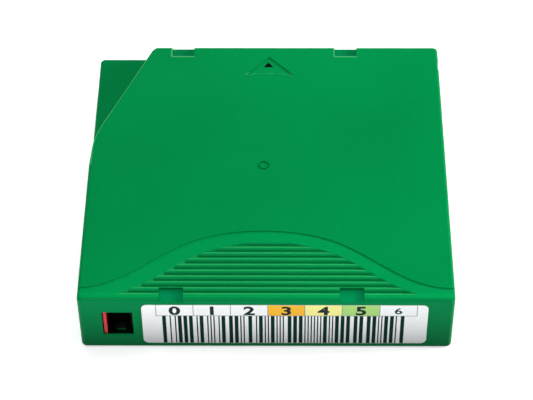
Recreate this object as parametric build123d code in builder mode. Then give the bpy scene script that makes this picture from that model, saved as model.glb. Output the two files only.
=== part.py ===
from build123d import *
import math
import os

# Single-reel cartridge for half-inch data tape.
# X runs across the cartridge, +Y is the leading edge that enters a drive, the label face
# is at -Y, and Z is zero on the underside. All sizes are in millimetres.

# Case
case_width = 105.4
case_length = 102.0
side_wall = 1.8
floor_thickness = 1.8
ceiling_thickness = 2.0
parting_height = 10.75
corner_radius = 1.5
inner_corner_radius = 0.3
top_edge_radius = 1.0
bottom_edge_radius = 1.2
tongue_thickness = 0.8
tongue_height = 1.0
tongue_gap = 0.1
loose_gap = 0.3
slide_gap = 0.15
beyond = 1.0
wall_root = 0.5

# Reel and tape, from the floor upwards
reel_x = -1.1
tape_width = 12.65
tape_edge_gap = 0.1
reel_seat_height = 1.2
lower_flange_thickness = 1.3
upper_flange_thickness = 1.1
reel_headroom = 1.25
reel_clearance = 0.9
chamber_wall = 1.0
tape_exit_x = 30.0
flange_margin = 3.3
hub_radius = 22.0
hub_wall = 1.6
hub_web_thickness = 2.1
hub_web_rise = 0.3
flange_lip_height = 0.95
flange_lip_width = 1.1

# Reel drive and brake
spindle_hole_radius = 18.0
seat_rim_width = 1.6
drive_teeth = 36
drive_ring_width = 3.0
drive_ring_gap = 0.6
drive_tooth_height = 1.5
drive_ring_drop = 0.1
drive_plate_inner_radius = 5.6
drive_plate_outer_radius = 13.4
drive_plate_thickness = 1.0
brake_teeth = 36
brake_ring_outer_radius = 15.6
brake_ring_width = 3.2
brake_tooth_height = 1.1
tooth_base_share = 0.64
tooth_tip_share = 0.22
brake_travel = 1.6
brake_disc_thickness = 1.2
brake_sleeve_radius = 6.0
brake_sleeve_height = 4.5
brake_post_length = 9.0
brake_post_thickness = 2.0
brake_post_gap = 0.25
brake_spring_wire_radius = 0.35
brake_spring_turns = 5
brake_nub_radius = 3.0
spring_ring_wall = 1.0
spring_ring_height = 1.5
release_stem_radius = 4.3
release_arm_reach = 9.6
release_arm_width = 4.0
release_plate_thickness = 0.8
release_leg_radius = 1.2
release_leg_circle = 8.0
release_arms = 3
release_stem_end = 0.05
leg_hole_gap = 0.25

# Insertion guide: the leading left corner of the top is cut away down to a platform
guide_start_from_leading = 50.2
guide_bend_inset = (0.85, 38.5)
guide_end_inset = (16.5, 1.5)
guide_exit_inset = 19.0
guide_bend_radius = 28.0
guide_exit_radius = 1.5
guide_depth = 5.3
guide_edge_radius = 0.6
platform_edge_radius = 0.8
platform_thickness = 1.6

# Grip on the top, by the label face. Its outlines give distances from its middle and from the label face
bell_x = -0.8
bell_depth = 0.25
bell_half_outline = ((52.5, 4.3), (44.0, 6.1), (36.0, 10.8), (28.0, 16.8), (20.0, 21.6), (10.0, 24.6))
bell_crest = 25.4
rib_x = 0.2
rib_half_outline = ((45.6, 1.0), (36.2, 5.2), (27.4, 11.5), (21.0, 16.0), (12.0, 19.7))
rib_crest = 21.6
groove_count = 9
rib_pitch = 2.15
first_groove = 20.28
groove_depth = 0.6
groove_width = 0.9
groove_lip_drop = 0.2
groove_floor_width = 0.5
groove_end_angle = 45

# Marks moulded in the top
notch_pairs_x = (-26.5, 24.0)
notch_width = 6.8
notch_depth = 1.2
label_notch_length = 4.6
leading_notch_length = 4.2
mark_edge_radius = 0.2
arrow_x = 0.3
arrow_from_leading = 4.6
arrow_length = 8.0
arrow_base_rise = 0.85
arrow_half_width = 7.45
arrow_depth = 0.3
gate_radius = 1.8
gate_pip_radius = 1.05
gate_depth = 0.3

# Label
label_from_window = 2.6
label_from_side = 7.35
label_height = 17.0
label_drop = 0.4
label_thickness = 0.15
label_corner_radius = 1.7
label_margin = 0.3
label_recess_depth = 0.35

# Write-protect window and tab
window_width = 8.6
window_height = 9.9
window_from_side = 10.95
tab_depth = 4.0
tab_show = 1.2
tab_rib_width = 0.9
tab_rib_set_back = 0.5
tab_overhang = 1.2
tab_pocket_wall = 1.0
tab_wall = 1.2
tab_stop_show = 0.8
tab_rail_thickness = 1.0
tab_rail_height = 3.2
tab_grooves = 3
tab_groove_pitch = 1.3
tab_groove_width = 0.6
tab_groove_depth = 0.5
sense_hole_size = 3.0
sense_hole_offset = 0.25

# Access door on the right side
door_post_length = 5.8
door_opening_length = 20.4
door_skin = 0.95
door_thickness = 1.4
door_groove_depth = 0.85
door_overlap = 1.2
door_travel = 19.0
door_nub_length = 1.0
door_nub_height = 4.9
door_nub_reach = 0.7
door_tail_length = 1.6
door_tail_height = 4.5
door_pocket_depth = 0.7
door_guide_wall = 1.0
door_spring_length = 34.0
door_spring_radius = 0.82
door_spring_wire_radius = 0.16
door_spring_turns = 16
finger_slot_height = 5.5
finger_slot_depth = 1.6
finger_slot_wall = 1.2
door_notch_length = 4.1
door_notch_depth = 0.25

# Leader pin, its clip and its retaining spring
pin_from_side = 6.3
pin_from_leading = 14.5
pin_radius = 1.25
pin_end_radius = 3.0
pin_end_thickness = 0.9
pin_collar_radius = 2.5
pin_collar_thickness = 0.5
pin_neck_radius = 1.7
pin_neck_length = 0.6
cradle_wall = 0.9
cradle_arm = 1.4
tape_thickness = 0.12
tape_lap_angle = 20
tape_wrap_angle = 200
clip_wall = 0.7
clip_mouth_angle = 110
clip_turn_angle = 15
clip_end_gap = 0.2
pin_spring_wire_radius = 0.25
pin_spring_bend = 0.7
pin_spring_set_back = 4.8
pin_spring_reach = 1.9
pin_spring_hook = (0.65, 2.45)
spring_post_length = 1.8
spring_post_lip = 0.8
spring_post_width = 2.8

# Memory board
memory_from_side = 9.7
memory_from_label_face = 9.5
memory_length = 14.0
memory_height = 14.5
memory_thickness = 0.8
memory_slot_gap = 0.1
memory_holder_length = 2.4
memory_holder_width = 3.0
memory_holder_height = 6.0
chip_size = 5.0
chip_thickness = 0.9
chip_height = 9.2

# Screws and locating holes
screw_inset = 4.5
tab_screw_from_label_face = 14.5
door_screw_from_side = 12.7
door_screw_from_leading = 4.0
screw_radius = 1.1
screw_length = 10.0
screw_head_radius = 2.1
screw_head_height = 1.4
screw_seat_height = 2.4
screw_drive_radius = 1.0
screw_drive_depth = 0.8
screw_point_length = 1.2
screw_head_edge = 0.3
screw_hole_gap = 0.2
pilot_gap = 0.05
pilot_extra = 1.0
boss_radius = 3.0
boss_joint_height = 6.5
locating_half_spacing = 37.55
locating_from_leading = 9.5
locating_radius = 2.0
locating_depth = 5.0
locating_slot_length = 6.0
locating_wall = 1.4

# Planes and levels that follow from the sizes above
left = -case_width / 2
right = case_width / 2
label_face = -case_length / 2
leading_face = case_length / 2
flange_bottom = floor_thickness + reel_seat_height
flange_top = flange_bottom + lower_flange_thickness
tape_bottom = flange_top + tape_edge_gap
tape_top = tape_bottom + tape_width
upper_flange_bottom = tape_top + tape_edge_gap
upper_flange_top = upper_flange_bottom + upper_flange_thickness
ceiling = upper_flange_top + reel_headroom
case_height = ceiling + ceiling_thickness
ceiling_root = ceiling + wall_root
platform = case_height - guide_depth
guide_start = (left, leading_face - guide_start_from_leading)
guide_bend = (left + guide_bend_inset[0], leading_face - guide_bend_inset[1])
guide_end = (left + guide_end_inset[0], leading_face - guide_end_inset[1])
guide_exit = (left + guide_exit_inset, leading_face + beyond)
arrow_apex_y = leading_face - arrow_from_leading
arrow_base_y = arrow_apex_y - arrow_length
first_groove_y = label_face + first_groove
screw_places = (
    (left + screw_inset, label_face + tab_screw_from_label_face),
    (left + screw_inset, leading_face - screw_inset),
    (right - screw_inset, label_face + screw_inset),
    (right - door_screw_from_side, leading_face - door_screw_from_leading),
)
locating_y = leading_face - locating_from_leading

door_outer_x = right - door_skin - slide_gap
door_inner_x = door_outer_x - door_thickness
pocket_inner_x = door_inner_x - door_pocket_depth
guide_wall_x = pocket_inner_x - door_guide_wall
opening_front_y = leading_face - door_post_length
opening_back_y = opening_front_y - door_opening_length
door_back_y = opening_back_y - door_overlap
spring_stop_y = door_back_y - door_tail_length - door_spring_length
door_bottom = floor_thickness - door_groove_depth + slide_gap
door_top = ceiling + door_groove_depth - slide_gap
door_spring_x = (pocket_inner_x + right - door_skin) / 2

reel_room = min(case_length / 2 - side_wall, reel_x - left - side_wall, guide_wall_x - reel_x)
flange_radius = reel_room - reel_clearance
pack_radius = flange_radius - flange_margin
web_bottom = flange_bottom + hub_web_rise
web_top = web_bottom + hub_web_thickness
drive_root = flange_bottom - drive_ring_drop
drive_ring_outer_radius = spindle_hole_radius - drive_ring_gap
drive_ring_inner_radius = drive_ring_outer_radius - drive_ring_width
brake_ring_inner_radius = brake_ring_outer_radius - brake_ring_width
brake_root = web_top + brake_tooth_height + slide_gap
brake_disc_bottom = brake_root + slide_gap
brake_disc_top = brake_disc_bottom + brake_disc_thickness
brake_sleeve_top = brake_disc_top + brake_sleeve_height
brake_post_bottom = brake_disc_top + brake_travel + loose_gap
release_plate_bottom = web_top + slide_gap
release_plate_top = release_plate_bottom + release_plate_thickness
release_stem_bottom = web_bottom - drive_plate_thickness + release_stem_end
release_leg_bottom = web_bottom + loose_gap
brake_spring_radius = brake_sleeve_radius + slide_gap + loose_gap + brake_spring_wire_radius
seat_rim_top = flange_bottom - slide_gap
grip_level = case_height - bell_depth

window_x = left + window_from_side
window_left = window_x - window_width / 2
window_right = window_x + window_width / 2
window_bottom = parting_height - window_height / 2
window_top = parting_height + window_height / 2
tab_left = left + tab_pocket_wall + slide_gap
tab_right = window_left + tab_show
tab_stop_x = window_right - tab_stop_show
tab_front_y = label_face + side_wall + loose_gap
tab_back_y = tab_front_y + tab_depth
tab_bottom = window_bottom - tab_overhang
tab_top = window_top + tab_overhang
tab_rail_y = tab_back_y + loose_gap
tab_shelf_bottom = tab_bottom - slide_gap
tab_shelf_top = tab_top + slide_gap
sense_hole_x = window_x + sense_hole_offset
label_left = window_right + label_from_window
label_width = right - label_from_side - label_left
label_x = label_left + label_width / 2
label_z = parting_height - label_drop

pin_x = right - pin_from_side
pin_y = leading_face - pin_from_leading
pin_bottom = floor_thickness + loose_gap
pin_top = ceiling - loose_gap
pin_seat_height = pin_end_thickness + pin_neck_length
wrap_radius = pin_radius + tape_edge_gap
lap_radius = pack_radius + loose_gap
clip_radius = wrap_radius + tape_thickness + tape_edge_gap / 2
spring_wire_x = pin_x - pin_spring_set_back
spring_wire_y = pin_y - pin_end_radius - loose_gap - cradle_wall - slide_gap - pin_spring_wire_radius
memory_x = right - memory_from_side
memory_y = label_face + memory_from_label_face
memory_bottom = floor_thickness + slide_gap
memory_plane = Plane(origin=(memory_x, memory_y, 0), x_dir=(1, 1, 0), z_dir=(0, 0, 1))

reel_axis = Axis((reel_x, 0, 0), (0, 0, 1))
reel_section = Plane(origin=(reel_x, 0, 0), x_dir=(1, 0, 0), z_dir=(0, -1, 0))
label_plane = Plane.XZ.offset(-label_face)


def case_plan(inset=0.0, mode=Mode.ADD):
    """Plan of the case, drawn in from its four sides."""
    radius = max(corner_radius - inset, inner_corner_radius)
    RectangleRounded(case_width - 2 * inset, case_length - 2 * inset, radius, mode=mode)


def box_between(low, high, mode=Mode.ADD):
    """Box from its lowest corner to its highest."""
    with Locations(low):
        Box(*(b - a for a, b in zip(low, high)), align=(Align.MIN,) * 3, mode=mode)


def mirrored_spline(half_outline, crest, centre_x):
    """Bell curve over the label face, through points of one half, their mirror images and a crest."""
    right_half = [(centre_x + x, label_face + y) for x, y in half_outline]
    left_half = [(centre_x - x, label_face + y) for x, y in half_outline]
    return Spline(*left_half, (centre_x, label_face + crest), *reversed(right_half))


# Plan shapes that more than one piece uses
with BuildSketch() as guide_notch:
    with BuildLine():
        outer = FilletPolyline(
            guide_start, guide_bend, guide_end, guide_exit, radius=(guide_bend_radius, guide_exit_radius)
        )
        Polyline(outer @ 1, (left - beyond, guide_exit[1]), (left - beyond, guide_start[1]), outer @ 0)
    make_face()

with BuildSketch() as bell_plan:
    with BuildLine():
        bell = mirrored_spline(bell_half_outline, bell_crest, bell_x)
        Polyline(bell @ 1, (right + beyond, (bell @ 1).Y), (right + beyond, label_face - beyond),
                 (left - beyond, label_face - beyond), (left - beyond, (bell @ 0).Y), bell @ 0)
    make_face()

with BuildSketch() as rib_plan:
    with BuildLine():
        crest = mirrored_spline(rib_half_outline, rib_crest, rib_x)
        Polyline(crest @ 1, ((crest @ 1).X, label_face - beyond),
                 ((crest @ 0).X, label_face - beyond), crest @ 0)
    make_face()

with BuildSketch() as guide_wall_plan:
    add(guide_notch.sketch)
    offset(amount=side_wall, kind=Kind.INTERSECTION)

with BuildSketch() as chamber_plan:
    case_plan(side_wall - tongue_thickness)
    with Locations((reel_x, 0)):
        Circle(reel_room + slide_gap + chamber_wall, mode=Mode.INTERSECT)
        Circle(reel_room + slide_gap, mode=Mode.SUBTRACT)
    with Locations((tape_exit_x, 0)):
        Rectangle(case_width, case_length, align=(Align.MIN, Align.MIN), mode=Mode.SUBTRACT)


def door_way(low_z, high_z):
    """Pocket that the open door slides into, with its side opening, between two heights."""
    pocket_low = (pocket_inner_x, spring_stop_y, low_z)
    opening_low = (pocket_inner_x, opening_back_y, low_z)
    box_between(pocket_low, (right - door_skin, opening_front_y, high_z), Mode.SUBTRACT)
    box_between(opening_low, (right + beyond, opening_front_y, high_z), Mode.SUBTRACT)


def door_guides(low_z, high_z):
    """Wall between the door pocket and the reel, its end stop, and the finger slot's wall."""
    low = (guide_wall_x, spring_stop_y - door_guide_wall, low_z)
    box_between(low, (pocket_inner_x, opening_back_y, high_z))
    box_between(low, (right - door_skin, spring_stop_y, high_z))


def door_groove(low_z, high_z):
    """Groove that an edge of the door runs in."""
    low = (door_inner_x - slide_gap, door_back_y - door_travel - loose_gap, low_z)
    box_between(low, (door_outer_x + slide_gap, opening_front_y, high_z), Mode.SUBTRACT)


def finger_slot_lining(low_z, high_z, mode=Mode.ADD):
    """Inner wall that closes the finger slot off from the inside of the case."""
    low = (right - finger_slot_depth - finger_slot_wall, opening_front_y, low_z)
    box_between(low, (right - side_wall / 2, leading_face - side_wall / 2, high_z), mode)


def finger_slot(low_z, high_z):
    """Slot past the corner of the case, through which a drive pushes the door open."""
    low = (right - finger_slot_depth, opening_front_y, low_z)
    box_between(low, (right + beyond, leading_face + beyond, high_z), Mode.SUBTRACT)


def door_notch(low_z, high_z):
    """Shallow relief of the rim beside the front of the door."""
    low = (right - door_notch_depth, opening_front_y - door_notch_length, low_z)
    box_between(low, (right + beyond, opening_front_y, high_z), Mode.SUBTRACT)


def tab_guides(shelf_z, wall_z, rail_z, stop_z):
    """Shelf, back rail and end stop of the write-protect tab, between each height and the wall."""
    outer_x = left + side_wall / 2
    face_y = label_face + side_wall / 2
    back_y = tab_rail_y + tab_rail_thickness
    stop_right = tab_stop_x + tab_rail_thickness
    for low, high in (
        ((outer_x, face_y, shelf_z), (stop_right, back_y, wall_z)),
        ((outer_x, tab_rail_y, rail_z), (stop_right, back_y, wall_z)),
        ((tab_stop_x, face_y, stop_z), (stop_right, back_y, wall_z)),
    ):
        box_between((*low[:2], min(low[2], high[2])), (*high[:2], max(low[2], high[2])))


def tab_pocket(low_z, high_z):
    """Relief of the side wall beside the tab."""
    low = (left + tab_pocket_wall, label_face + side_wall, low_z)
    box_between(low, (left + 2 * side_wall, tab_rail_y, high_z), Mode.SUBTRACT)


def window():
    """Window in the label face that shows the write-protect tab."""
    low = (window_left, label_face - beyond, window_bottom)
    box_between(low, (window_right, label_face + side_wall, window_top), Mode.SUBTRACT)


def label_recess():
    """Shallow recess that the label is stuck in."""
    with BuildSketch(label_plane) as outline:
        with Locations((label_x, label_z)):
            width = label_width + 2 * label_margin
            height = label_height + 2 * label_margin
            RectangleRounded(width, height, label_corner_radius + label_margin)
    extrude(outline.sketch, amount=-label_recess_depth, mode=Mode.SUBTRACT)


def cradle(low_z, high_z):
    """U-shaped seat round one end of the leader pin, open towards the door."""
    inner = pin_end_radius + loose_gap
    with BuildSketch(Plane.XY.offset(low_z)) as outline:
        with Locations((pin_x, pin_y)):
            Circle(inner + cradle_wall)
            with Locations((cradle_arm / 2, 0)):
                Rectangle(cradle_arm, 2 * (inner + cradle_wall))
            Circle(inner, mode=Mode.SUBTRACT)
            with Locations((inner, 0)):
                Rectangle(2 * inner, 2 * inner, mode=Mode.SUBTRACT)
            with Locations((cradle_arm + inner, 0)):
                Rectangle(2 * inner, 4 * inner, mode=Mode.SUBTRACT)
    extrude(outline.sketch, amount=high_z - low_z)


def memory_holders(low_z, high_z):
    """Pair of slotted posts that hold the memory board across its corner."""
    slot = memory_thickness + 2 * memory_slot_gap
    centres = [(side * memory_length / 2, 0) for side in (-1, 1)]
    with BuildSketch(memory_plane.offset(low_z)) as outline:
        with Locations(*centres):
            Rectangle(memory_holder_length, memory_holder_width)
        Rectangle(memory_length + 2 * memory_slot_gap, slot, mode=Mode.SUBTRACT)
    extrude(outline.sketch, amount=high_z - low_z)


def spring_post(low_z, high_z):
    """Grooved post that holds the back of the leader pin's spring."""
    back = spring_wire_x - pin_spring_wire_radius - slide_gap
    half_groove = pin_spring_wire_radius + slide_gap
    half_width = spring_post_width / 2
    box_between((back - spring_post_length, spring_wire_y - half_width, low_z),
                (back + spring_post_lip, spring_wire_y + half_width, high_z))
    box_between((back, spring_wire_y - half_groove, low_z),
                (back + spring_post_lip, spring_wire_y + half_groove, high_z), Mode.SUBTRACT)


def round_posts(places, radius, low_z, high_z, mode=Mode.ADD):
    """Round posts or holes of one radius, between two heights."""
    with BuildSketch(Plane.XY.offset(low_z)) as outline:
        with Locations(*places):
            Circle(radius)
    extrude(outline.sketch, amount=high_z - low_z, mode=mode)


def face_tooth(inner_radius, outer_radius, root_z, tip_z, count):
    """One tapered tooth of a face ring, at angle zero round the origin."""
    pitch = 2 * math.pi / count
    with BuildPart() as single:
        for radius in (inner_radius, outer_radius):
            with BuildSketch(Plane(origin=(radius, 0, root_z), x_dir=(0, 1, 0), z_dir=(1, 0, 0))):
                base = radius * pitch * tooth_base_share / 2
                tip = radius * pitch * tooth_tip_share / 2
                height = tip_z - root_z
                Polygon((-base, 0), (base, 0), (tip, height), (-tip, height), align=None)
        loft()
    return single.part


def coil(centre, direction, length, mean_radius, wire_radius, turns):
    """Helical wire of a compression spring."""
    with BuildLine() as wire:
        Helix(pitch=length / turns, height=length, radius=mean_radius, center=centre, direction=direction)
    with BuildSketch(Plane(origin=wire.line @ 0, z_dir=wire.line % 0)) as section:
        Circle(wire_radius)
    sweep(section.sketch, path=wire.line, is_frenet=True)


os.makedirs("parts", exist_ok=True)

# Top of the case
with BuildPart() as raised_top:
    with BuildSketch(Plane.XY.offset(parting_height)):
        case_plan()
    extrude(amount=case_height - parting_height)
    fillet(raised_top.faces().sort_by(Axis.Z)[-1].edges(), radius=top_edge_radius)
    with BuildSketch(Plane.XY.offset(parting_height)):
        add(bell_plan.sketch)
    extrude(amount=case_height, mode=Mode.SUBTRACT)

with BuildPart() as rib_grooves:
    with BuildSketch(Plane.YZ.offset(left)):
        with BuildLine():
            groove_bottom = grip_level - groove_depth
            lip = grip_level - groove_lip_drop
            start = (first_groove_y + rib_pitch / 2, grip_level)
            here = start
            for number in range(groove_count):
                centre = first_groove_y - number * rib_pitch
                far = (centre + groove_width / 2, lip)
                near = (centre - groove_width / 2, lip)
                after = (centre - rib_pitch / 2, grip_level)
                TangentArc(here, far, tangent=(-1, 0))
                Polyline(far, (centre + groove_floor_width / 2, groove_bottom),
                         (centre - groove_floor_width / 2, groove_bottom), near)
                TangentArc(after, near, tangent=(1, 0))
                here = after
            Polyline(here, (here[0], grip_level + beyond), (start[0], grip_level + beyond), start)
        make_face()
    extrude(amount=case_width)
    with BuildSketch(Plane.XY.offset(grip_level)):
        add(rib_plan.sketch)
    extrude(amount=-groove_depth - beyond, taper=groove_end_angle, mode=Mode.INTERSECT)

with BuildPart() as platform_tier:
    with BuildSketch(Plane.XY.offset(parting_height)):
        case_plan()
    extrude(amount=platform - parting_height)
    fillet(platform_tier.faces().sort_by(Axis.Z)[-1].edges(), radius=platform_edge_radius)

with BuildPart() as top_inside:
    with BuildSketch(Plane.XY.offset(parting_height)):
        add(chamber_plan.sketch)
    extrude(amount=ceiling_root - parting_height)
    with BuildSketch(Plane.XY.offset(boss_joint_height)):
        with Locations(*screw_places):
            Circle(boss_radius)
        case_plan(side_wall + tongue_gap, mode=Mode.INTERSECT)
    extrude(amount=ceiling_root - boss_joint_height)
    door_guides(parting_height, ceiling_root)
    tab_guides(tab_shelf_top, ceiling_root, tab_top - tab_rail_height, parting_height)
    cradle(pin_top - pin_seat_height, ceiling_root)
    spring_post(parting_height, ceiling_root)
    memory_holders(ceiling - memory_holder_height, ceiling_root)
    with BuildSketch(Plane.XY.offset(brake_post_bottom)):
        with Locations((reel_x, 0)):
            Rectangle(brake_post_length, brake_post_thickness)
            Rectangle(brake_post_thickness, brake_post_length)
    extrude(amount=ceiling_root - brake_post_bottom)
    with BuildSketch(Plane.XY.offset(ceiling - spring_ring_height)):
        with Locations((reel_x, 0)):
            Circle(brake_sleeve_radius + slide_gap)
            Circle(brake_sleeve_radius + slide_gap - spring_ring_wall, mode=Mode.SUBTRACT)
    extrude(amount=spring_ring_height + wall_root)
    with BuildSketch(Plane.XY.offset(platform - platform_thickness / 2)):
        add(guide_wall_plan.sketch)
    extrude(amount=guide_depth, mode=Mode.SUBTRACT)

with BuildPart() as top_shell:
    with BuildSketch(Plane.XY.offset(parting_height)):
        case_plan()
    extrude(amount=grip_level - parting_height)
    fillet(top_shell.faces().sort_by(Axis.Z)[-1].edges(), radius=top_edge_radius)
    add(raised_top.part)
    with BuildSketch(Plane.XY.offset(parting_height)):
        add(guide_notch.sketch)
    extrude(amount=case_height, mode=Mode.SUBTRACT)
    guide_edges = top_shell.faces().sort_by(Axis.Z)[-1].edges().filter_by(
        lambda edge: outer.distance_to(Vector((edge @ 0.5).X, (edge @ 0.5).Y, 0)) < guide_edge_radius / 10
    )
    fillet(guide_edges, radius=guide_edge_radius)
    add(platform_tier.part)
    with BuildSketch(Plane.XY.offset(parting_height)):
        case_plan(side_wall)
    extrude(amount=platform - platform_thickness - parting_height, mode=Mode.SUBTRACT)
    with BuildSketch(Plane.XY.offset(parting_height)):
        case_plan(side_wall)
        add(guide_wall_plan.sketch, mode=Mode.SUBTRACT)
    extrude(amount=ceiling - parting_height, mode=Mode.SUBTRACT)
    add(top_inside.part)
    with BuildSketch(Plane.XY.offset(parting_height)):
        case_plan(side_wall - tongue_thickness - tongue_gap)
        case_plan(side_wall + tongue_gap, mode=Mode.SUBTRACT)
    extrude(amount=tongue_height + tongue_gap, mode=Mode.SUBTRACT)
    finger_slot_lining(parting_height, parting_height + finger_slot_height / 2 + finger_slot_wall)
    finger_slot(parting_height, parting_height + finger_slot_height / 2)
    door_way(parting_height, ceiling)
    door_groove(ceiling, ceiling + door_groove_depth)
    door_notch(parting_height, case_height)
    tab_pocket(parting_height, tab_shelf_top)
    window()
    label_recess()
    round_posts(screw_places, screw_radius + pilot_gap, boss_joint_height,
                screw_seat_height + screw_length + pilot_extra, Mode.SUBTRACT)
    add(rib_grooves.part, mode=Mode.SUBTRACT)
    for notch_x in notch_pairs_x:
        for notch_low_y, notch_high_y in (
            (label_face - beyond, label_face + label_notch_length),
            (leading_face - leading_notch_length, leading_face + beyond),
        ):
            box_between((notch_x - notch_width / 2, notch_low_y, case_height - notch_depth),
                        (notch_x + notch_width / 2, notch_high_y, case_height + beyond), Mode.SUBTRACT)
    top_edges = top_shell.faces().sort_by(Axis.Z)[-1].edges().filter_by(Axis.X)
    notch_end_y = leading_face - leading_notch_length
    notch_edges = top_edges.filter_by_position(Axis.Y, notch_end_y - slide_gap, notch_end_y + slide_gap)
    fillet(notch_edges, radius=mark_edge_radius)
    with BuildSketch(Plane.XY.offset(case_height)):
        with BuildLine():
            base_left = (arrow_x - arrow_half_width, arrow_base_y)
            base_right = (arrow_x + arrow_half_width, arrow_base_y)
            Polyline(base_left, (arrow_x, arrow_apex_y), base_right)
            ThreePointArc(base_right, (arrow_x, arrow_base_y + arrow_base_rise), base_left)
        make_face()
    extrude(amount=-arrow_depth, mode=Mode.SUBTRACT)
    arrow_base_edge = top_shell.edges().filter_by(GeomType.CIRCLE).sort_by_distance(
        (arrow_x, arrow_base_y + arrow_base_rise, case_height)
    )[0]
    fillet(arrow_base_edge, radius=mark_edge_radius)
    with BuildSketch(Plane.XY.offset(case_height)):
        with Locations((reel_x, 0)):
            Circle(gate_radius)
            Circle(gate_pip_radius, mode=Mode.SUBTRACT)
    extrude(amount=-gate_depth, mode=Mode.SUBTRACT)
top_shell.part.label = "top_shell"
export_step(top_shell.part, "parts/top_shell.step")

# Bottom of the case
with BuildPart() as bottom_shell:
    with BuildSketch():
        case_plan()
    extrude(amount=parting_height)
    fillet(bottom_shell.faces().sort_by(Axis.Z)[0].edges(), radius=bottom_edge_radius)
    with BuildSketch(Plane.XY.offset(floor_thickness)):
        case_plan(side_wall)
    extrude(amount=parting_height, mode=Mode.SUBTRACT)
    with BuildSketch(Plane.XY.offset(parting_height)):
        case_plan(side_wall - tongue_thickness)
        case_plan(side_wall, mode=Mode.SUBTRACT)
    extrude(amount=tongue_height)
    with BuildSketch(Plane.XY.offset(floor_thickness)):
        add(chamber_plan.sketch)
    extrude(amount=parting_height - floor_thickness)
    round_posts(screw_places, boss_radius, floor_thickness, boss_joint_height)
    door_guides(floor_thickness, parting_height)
    tab_guides(tab_shelf_bottom, floor_thickness, tab_bottom + tab_rail_height, parting_height)
    cradle(floor_thickness, pin_bottom + pin_seat_height)
    spring_post(floor_thickness, parting_height)
    memory_holders(floor_thickness, floor_thickness + memory_holder_height)
    finger_slot_lining(parting_height, case_height, Mode.SUBTRACT)
    finger_slot_lining(parting_height - finger_slot_height / 2 - finger_slot_wall, parting_height)
    finger_slot(parting_height - finger_slot_height / 2, case_height)
    door_way(floor_thickness, case_height)
    door_groove(floor_thickness - door_groove_depth, floor_thickness)
    door_notch(0, case_height)
    tab_pocket(tab_shelf_bottom, case_height)
    window()
    label_recess()
    round_posts(((reel_x, 0),), spindle_hole_radius + seat_rim_width, 0, seat_rim_top)
    round_posts(((reel_x, 0),), spindle_hole_radius, 0, seat_rim_top, Mode.SUBTRACT)
    round_posts(screw_places, screw_head_radius + screw_hole_gap, 0, screw_seat_height, Mode.SUBTRACT)
    round_posts(screw_places, screw_radius + screw_hole_gap, 0, boss_joint_height, Mode.SUBTRACT)
    locating_hole = ((reel_x - locating_half_spacing, locating_y),)
    locating_boss_top = locating_depth + locating_wall
    round_posts(locating_hole, locating_radius + locating_wall, floor_thickness, locating_boss_top)
    round_posts(locating_hole, locating_radius, 0, locating_depth, Mode.SUBTRACT)
    with BuildSketch(Plane.XY.offset(floor_thickness)):
        with Locations((reel_x + locating_half_spacing, locating_y)):
            SlotOverall(locating_slot_length + 2 * locating_wall, 2 * (locating_radius + locating_wall))
    extrude(amount=locating_boss_top - floor_thickness)
    with BuildSketch():
        with Locations((reel_x + locating_half_spacing, locating_y)):
            SlotOverall(locating_slot_length, 2 * locating_radius)
    extrude(amount=locating_depth, mode=Mode.SUBTRACT)
    with Locations((sense_hole_x, (tab_front_y + tab_back_y) / 2, 0)):
        Box(sense_hole_size, sense_hole_size, 2 * tab_bottom, mode=Mode.SUBTRACT)
bottom_shell.part.label = "bottom_shell"
export_step(bottom_shell.part, "parts/bottom_shell.step")

# Screws that hold the two halves together
with BuildPart() as case_screw:
    with BuildSketch(Plane.XZ):
        with BuildLine():
            head_bottom = screw_seat_height - screw_head_height
            tip = screw_seat_height + screw_length
            Polyline(
                (0, head_bottom),
                (screw_head_radius - screw_head_edge, head_bottom),
                (screw_head_radius, head_bottom + screw_head_edge),
                (screw_head_radius, screw_seat_height),
                (screw_radius, screw_seat_height),
                (screw_radius, tip - screw_point_length),
                (0, tip),
                close=True,
            )
        make_face()
    revolve(axis=Axis.Z)
    with BuildSketch(Plane.XY.offset(head_bottom)):
        RegularPolygon(screw_drive_radius, 6)
    extrude(amount=screw_drive_depth, mode=Mode.SUBTRACT)

with BuildPart() as case_screws:
    with Locations(*screw_places):
        add(case_screw.part)
case_screws.part.label = "case_screws"
export_step(case_screws.part, "parts/case_screws.step")

with BuildPart() as cartridge_label:
    with BuildSketch(label_plane.offset(-label_recess_depth)):
        with Locations((label_x, label_z)):
            RectangleRounded(label_width, label_height, label_corner_radius)
    extrude(amount=label_thickness)
cartridge_label.part.label = "cartridge_label"
export_step(cartridge_label.part, "parts/cartridge_label.step")

with BuildPart() as write_protect_tab:
    box_between((tab_left, tab_front_y, tab_bottom), (tab_right, tab_back_y, tab_top))
    fillet(write_protect_tab.edges().filter_by(Axis.Z), radius=tab_groove_depth / 2)
    box_between((tab_left + tab_wall, tab_front_y + tab_wall, tab_bottom + tab_wall),
                (tab_right - tab_wall, tab_back_y, tab_top - tab_wall), Mode.SUBTRACT)
    box_between((tab_right - tab_rib_width, label_face + tab_rib_set_back, window_bottom + slide_gap),
                (tab_right, tab_front_y + tab_wall, window_top - slide_gap))
    for number in range(tab_grooves):
        groove_left = tab_left + tab_wall + number * tab_groove_pitch
        groove_right = groove_left + tab_groove_width
        box_between((groove_left, tab_front_y, tab_bottom + tab_wall),
                    (groove_right, tab_front_y + tab_groove_depth, tab_top - tab_wall), Mode.SUBTRACT)
write_protect_tab.part.label = "write_protect_tab"
export_step(write_protect_tab.part, "parts/write_protect_tab.step")

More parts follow.
